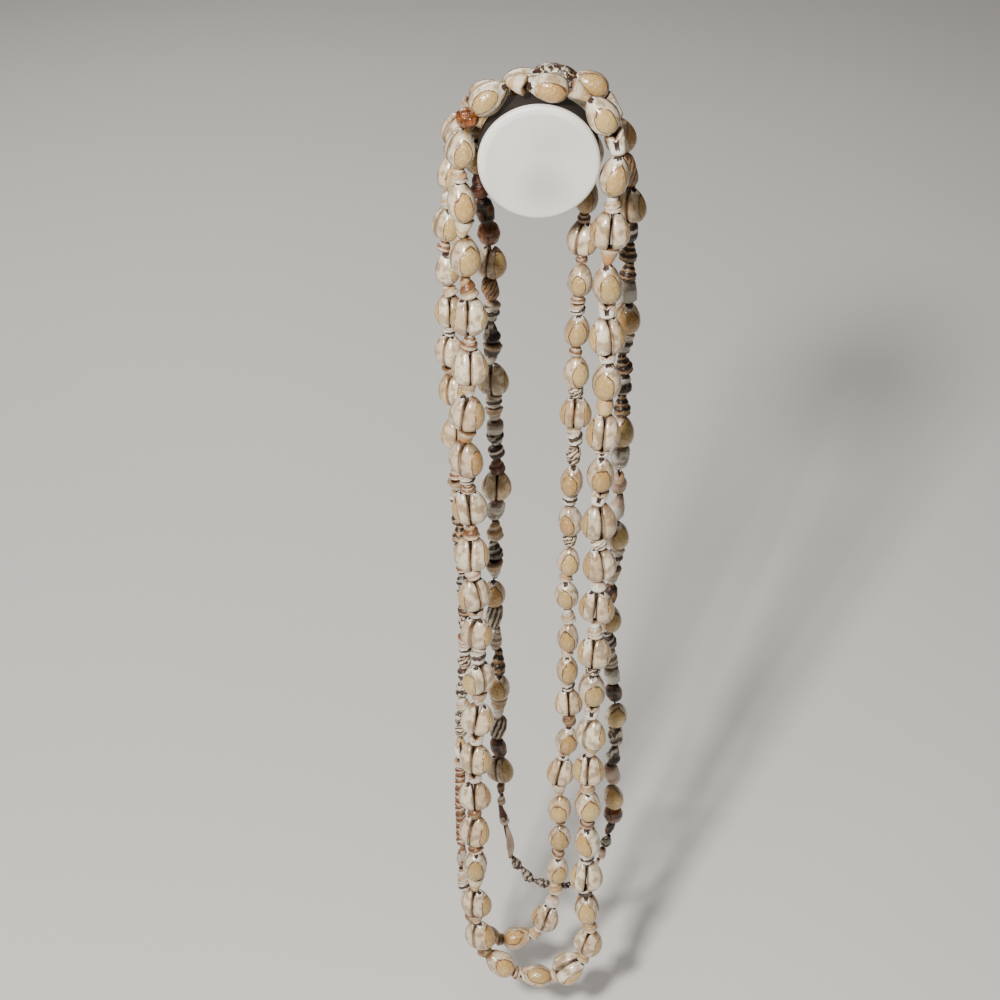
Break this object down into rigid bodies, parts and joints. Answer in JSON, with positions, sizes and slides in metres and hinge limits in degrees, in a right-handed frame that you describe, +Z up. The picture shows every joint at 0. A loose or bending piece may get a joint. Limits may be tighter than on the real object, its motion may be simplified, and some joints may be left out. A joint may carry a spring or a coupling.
{
  "type": "cowrie shell necklace on a plain display peg",
  "caption": "Long cowrie shell necklace wound in three loops over a plain round display peg, with paired cowries and small spacer shells on thread.",
  "frame": {"origin": "centre of the display peg's back face, where the peg is fixed to a wall or board", "axes": "+X right, +Y back into the wall along the peg's axis, +Z up"},
  "size_m": [0.1103, 0.0651, 0.5986],
  "materials": {
    "peg_white": "satin white paint",
    "thread": "plain twisted thread",
    "cowrie": "glossy shell, cream with a tan back",
    "small_shell": "worn shell, cream to tan",
    "dark_shell": "striped brown and white shell",
    "amber": "clear amber-coloured bead"
  },
  "bodies": {
    "root": {"display_peg": "peg_white", "front_thread": "thread", "front_cowries": "cowrie", "front_spacers": "small_shell", "left_thread": "thread", "left_cowries": "cowrie", "left_spacers": "small_shell", "left_fine_string": "dark_shell", "right_thread": "thread", "right_cowries": "cowrie", "right_shells": "dark_shell", "right_fine_string": "dark_shell", "amber_beads": "amber"}
  },
  "joints": []
}
